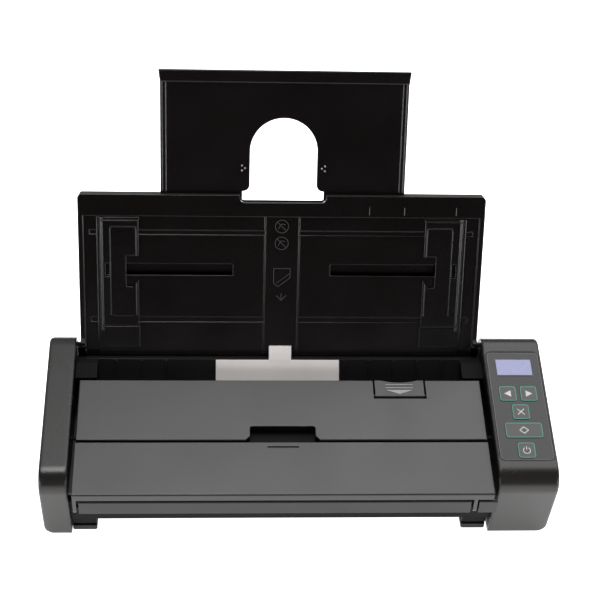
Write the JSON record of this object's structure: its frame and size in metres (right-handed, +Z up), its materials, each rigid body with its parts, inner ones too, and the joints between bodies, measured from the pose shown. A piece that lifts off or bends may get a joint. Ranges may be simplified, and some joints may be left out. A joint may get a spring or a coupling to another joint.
{
  "type": "sheet-fed document scanner",
  "caption": "Sheet-fed scanner with a raised feed tray and its extension, sliding paper guides with folding fences, a hinged front cover, an exit flap and a key panel.",
  "frame": {"origin": "centre of the bounding box's base with the tray open, on the plane the rubber feet stand on", "axes": "+X along the machine to the right as seen from the front, +Y to the rear, +Z up"},
  "size_m": [0.3016, 0.1764, 0.2226],
  "materials": {
    "case": "dark satin gloss",
    "case_trim": "dark brownish black, satin",
    "inner_dark": "fine matte black",
    "panel_label": "glossy dark grey label",
    "keys": "glossy dark grey",
    "display": "lit pale violet-blue",
    "display_body": "white",
    "board": "green board",
    "switch": "black",
    "pickup": "light warm grey",
    "socket": "plated",
    "socket_black": "black",
    "sensor": "black",
    "sensor_glass": "clear",
    "steel": "turned",
    "motor": "plated can",
    "motor_gear": "turned",
    "gear": "natural white",
    "bush": "sintered",
    "tyre": "dull",
    "pinch": "white",
    "foot": "dull"
  },
  "bodies": {
    "base": {"left_end_cap": "case", "right_end_cap": "case", "control_panel": "panel_label", "display_window": "display", "display_module": "display_body", "key_board": "board", "key_switches": "switch", "left_side_frame": "inner_dark", "right_side_frame": "inner_dark", "bottom_plate": "inner_dark", "lower_guide": "inner_dark", "feed_chute": "inner_dark", "pickup_plate": "pickup", "rear_cover": "inner_dark", "main_board": "board", "usb_socket": "socket", "power_socket": "socket_black", "lower_sensor": "sensor", "lower_glass": "sensor_glass", "drive_motor": "motor", "shaft_bushes": "bush", "rubber_feet": "foot", "case_screws": "steel", "cover_pins": "steel", "flap_pins": "steel", "tray_pins": "steel"},
    "key_back_body": {"key_back": "keys"},
    "key_forward_body": {"key_forward": "keys"},
    "key_cancel_body": {"key_cancel": "keys"},
    "key_start_body": {"key_start": "keys"},
    "key_power_body": {"key_power": "keys"},
    "cover": {"upper_panel": "case", "cover_frame": "inner_dark", "upper_sensor": "sensor", "upper_glass": "sensor_glass"},
    "latch": {"cover_latch": "case_trim"},
    "pinch_roller": {"pinch_shaft": "steel", "pinch_tyres": "pinch"},
    "separation_roller": {"separation_shaft": "steel", "separation_tyre": "tyre"},
    "flap": {"exit_flap": "case"},
    "drive_roller": {"drive_shaft": "steel", "drive_tyres": "tyre", "drive_gear": "gear"},
    "feed_roller": {"feed_shaft": "steel", "feed_tyre": "tyre", "feed_gear": "gear"},
    "idler": {"idler_gear": "gear"},
    "motor_rotor": {"motor_pinion": "motor_gear"},
    "lever": {"paper_lever": "inner_dark"},
    "tray": {"feed_tray": "case_trim", "tray_back": "case_trim"},
    "extension": {"tray_extension": "case_trim"},
    "left_guide_body": {"left_guide": "case_trim"},
    "right_guide_body": {"right_guide": "case_trim"},
    "left_fence_body": {"left_fence": "case_trim"},
    "right_fence_body": {"right_fence": "case_trim"},
    "guide_pinion_body": {"guide_pinion": "gear"}
  },
  "joints": [
    {"name": "key_back_press", "type": "slide", "parent": "base", "child": "key_back_body", "axis": [0, 0.165, -0.9863], "range_m": [0, 0.00045], "stiffness_N_per_m": 200, "springref_m": -0.0005},
    {"name": "key_forward_press", "type": "slide", "parent": "base", "child": "key_forward_body", "axis": [0, 0.165, -0.9863], "range_m": [0, 0.00045], "stiffness_N_per_m": 200, "springref_m": -0.0005},
    {"name": "key_cancel_press", "type": "slide", "parent": "base", "child": "key_cancel_body", "axis": [0, 0.165, -0.9863], "range_m": [0, 0.00045], "stiffness_N_per_m": 200, "springref_m": -0.0005},
    {"name": "key_start_press", "type": "slide", "parent": "base", "child": "key_start_body", "axis": [0, 0.165, -0.9863], "range_m": [0, 0.00045], "stiffness_N_per_m": 200, "springref_m": -0.0005},
    {"name": "key_power_press", "type": "slide", "parent": "base", "child": "key_power_body", "axis": [0, 0.165, -0.9863], "range_m": [0, 0.00045], "stiffness_N_per_m": 200, "springref_m": -0.0005},
    {"name": "cover_hinge", "type": "hinge", "parent": "base", "child": "cover", "pos_m": [-0.00965, -0.04749, 0.05234], "axis": [1, 0, 0], "range_deg": [0, 75]},
    {"name": "latch_hinge", "type": "hinge", "parent": "cover", "child": "latch", "pos_m": [0.0624, -0.0178, 0.05792], "axis": [1, 0, 0], "range_deg": [0, 25], "stiffness_Nm_per_rad": 0.01, "springref_deg": -17.19},
    {"name": "pinch_spin", "type": "hinge", "parent": "cover", "child": "pinch_roller", "pos_m": [-0.00965, -0.03918, 0.0468], "axis": [1, 0, 0], "continuous": true},
    {"name": "separation_spin", "type": "hinge", "parent": "cover", "child": "separation_roller", "pos_m": [-0.00965, -0.01118, 0.0484], "axis": [1, 0, 0], "continuous": true},
    {"name": "flap_hinge", "type": "hinge", "parent": "base", "child": "flap", "pos_m": [-0.00965, -0.08418, 0.034], "axis": [1, 0, 0], "range_deg": [0, 160]},
    {"name": "drive_spin", "type": "hinge", "parent": "base", "child": "drive_roller", "pos_m": [-0.00965, -0.03918, 0.0345], "axis": [1, 0, 0], "continuous": true},
    {"name": "feed_spin", "type": "hinge", "parent": "base", "child": "feed_roller", "pos_m": [-0.00965, -0.00968, 0.0332], "axis": [1, 0, 0], "continuous": true},
    {"name": "idler_spin", "type": "hinge", "parent": "base", "child": "idler", "pos_m": [0.1209, -0.02491, 0.02288], "axis": [1, 0, 0], "continuous": true},
    {"name": "motor_spin", "type": "hinge", "parent": "base", "child": "motor_rotor", "pos_m": [0.118, -0.05221, 0.02521], "axis": [1, 0, 0], "continuous": true},
    {"name": "lever_swing", "type": "hinge", "parent": "base", "child": "lever", "pos_m": [-0.056, 0.00282, 0.04], "axis": [1, 0, 0], "range_deg": [0, 40], "stiffness_Nm_per_rad": 0.0003, "springref_deg": -22.92},
    {"name": "tray_hinge", "type": "hinge", "parent": "base", "child": "tray", "pos_m": [-0.00965, 0.01712, 0.0675], "axis": [-1, 0, 0], "range_deg": [-122, 0]},
    {"name": "extension_slide", "type": "slide", "parent": "tray", "child": "extension", "axis": [0, 0.3859, 0.9225], "range_m": [-0.062, 0]},
    {"name": "left_guide_slide", "type": "slide", "parent": "tray", "child": "left_guide_body", "axis": [1, 0, 0], "range_m": [0, 0.078]},
    {"name": "right_guide_slide", "type": "slide", "parent": "tray", "child": "right_guide_body", "axis": [-1, 0, 0], "range_m": [0, 0.078]},
    {"name": "guide_pinion_spin", "type": "hinge", "parent": "tray", "child": "guide_pinion_body", "pos_m": [-0.00965, 0.03876, 0.11042], "axis": [0, 0.9225, -0.3859], "range_deg": [0, 700]},
    {"name": "left_fence_hinge", "type": "hinge", "parent": "left_guide_body", "child": "left_fence_body", "pos_m": [-0.11845, 0.03518, 0.10937], "axis": [0, -0.3859, -0.9225], "range_deg": [0, 90]},
    {"name": "right_fence_hinge", "type": "hinge", "parent": "right_guide_body", "child": "right_fence_body", "pos_m": [0.09915, 0.03518, 0.10937], "axis": [0, 0.3859, 0.9225], "range_deg": [0, 90]}
  ],
  "couplings": [
    {"joint": "idler_spin", "follows": "drive_spin", "ratio": -1.875},
    {"joint": "feed_spin", "follows": "drive_spin", "ratio": 1},
    {"joint": "motor_spin", "follows": "drive_spin", "ratio": -3},
    {"joint": "right_guide_slide", "follows": "left_guide_slide", "ratio": 1},
    {"joint": "guide_pinion_spin", "follows": "left_guide_slide", "rad_per_m": 156.25}
  ]
}
